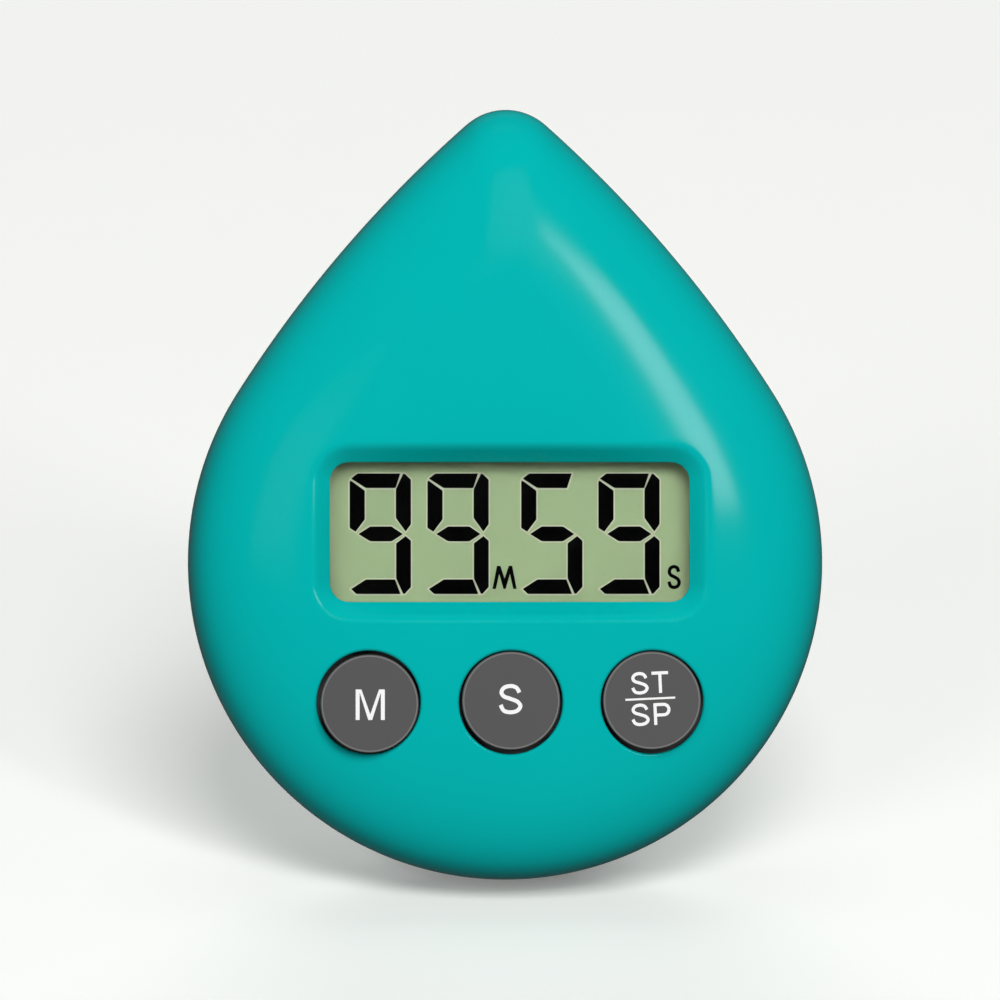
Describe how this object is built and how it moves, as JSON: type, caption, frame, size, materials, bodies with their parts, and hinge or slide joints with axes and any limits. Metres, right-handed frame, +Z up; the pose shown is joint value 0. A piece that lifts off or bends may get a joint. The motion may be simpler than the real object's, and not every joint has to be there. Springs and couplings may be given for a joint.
{
  "type": "digital timer",
  "caption": "Drop-shaped digital kitchen timer with a numeric liquid-crystal window, round push buttons, rear magnets, a battery door and a folding stand.",
  "frame": {"origin": "on the table, under the centre of the bounding box of the timer leaning back on its open stand", "axes": "+Z up, -Y out of the face towards the viewer, +X to the viewer's right"},
  "size_m": [0.07, 0.041, 0.0831],
  "materials": {
    "teal_plastic": "moulded, satin",
    "grey_plastic": "moulded, satin",
    "clear_window": "clear, polished",
    "display_glass": "clear, tinted by the liquid crystal",
    "reflector_film": "pale green film",
    "silicone_rubber": "soft, matt",
    "carbon_rubber": "matt",
    "board_laminate": "green solder mask",
    "black_epoxy": "cast",
    "bright_steel": "plated",
    "brass_sheet": "plain",
    "white_ceramic": "fired ceramic with a silvered face",
    "dark_ferrite": "sintered, matt",
    "battery_jacket": "printed steel jacket",
    "red_insulation": "extruded",
    "black_insulation": "extruded"
  },
  "bodies": {
    "case": {"front_shell": "teal_plastic", "back_cover": "teal_plastic", "display_lens": "clear_window", "lcd_front_glass": "display_glass", "lcd_rear_glass": "display_glass", "lcd_reflector": "reflector_film", "zebra_strip": "silicone_rubber", "circuit_board": "board_laminate", "chip_blob": "black_epoxy", "crystal_can": "bright_steel", "capacitor": "black_epoxy", "buzzer_coil": "black_epoxy", "board_screw_left": "bright_steel", "board_screw_right": "bright_steel", "board_screw_lower": "bright_steel", "minute_dome": "silicone_rubber", "second_dome": "silicone_rubber", "start_stop_dome": "silicone_rubber", "battery_cell": "battery_jacket", "battery_spring": "bright_steel", "negative_contact": "bright_steel", "positive_contact": "bright_steel", "positive_lead": "red_insulation", "negative_lead": "black_insulation", "buzzer_lead_left": "black_insulation", "buzzer_lead_right": "red_insulation", "buzzer_disc": "brass_sheet", "buzzer_ceramic": "white_ceramic", "magnet_left": "dark_ferrite", "magnet_right": "dark_ferrite", "case_screw_upper_left": "bright_steel", "case_screw_upper_right": "bright_steel", "case_screw_lower_left": "bright_steel", "case_screw_lower_right": "bright_steel"},
    "minute_key": {"minute_button": "grey_plastic", "minute_pill": "carbon_rubber"},
    "second_key": {"second_button": "grey_plastic", "second_pill": "carbon_rubber"},
    "start_stop_key": {"start_stop_button": "grey_plastic", "start_stop_pill": "carbon_rubber"},
    "stand": {"stand": "teal_plastic"},
    "battery_door": {"battery_door": "teal_plastic"}
  },
  "joints": [
    {"name": "minute_press", "type": "slide", "parent": "case", "child": "minute_key", "axis": [0, 0.9511, -0.309], "range_m": [0, 0.001], "stiffness_N_per_m": 500, "deforming": ["minute_dome"]},
    {"name": "second_press", "type": "slide", "parent": "case", "child": "second_key", "axis": [0, 0.9511, -0.309], "range_m": [0, 0.001], "stiffness_N_per_m": 500, "deforming": ["second_dome"]},
    {"name": "start_stop_press", "type": "slide", "parent": "case", "child": "start_stop_key", "axis": [0, 0.9511, -0.309], "range_m": [0, 0.001], "stiffness_N_per_m": 500, "deforming": ["start_stop_dome"]},
    {"name": "stand_hinge", "type": "hinge", "parent": "case", "child": "stand", "pos_m": [0, 0.00452, 0.03089], "axis": [1, 0, 0], "range_deg": [-26.2, 0]},
    {"name": "door_hinge", "type": "hinge", "parent": "case", "child": "battery_door", "pos_m": [0, 0.00699, 0.0359], "axis": [-1, 0, 0], "range_deg": [0, 75]}
  ]
}
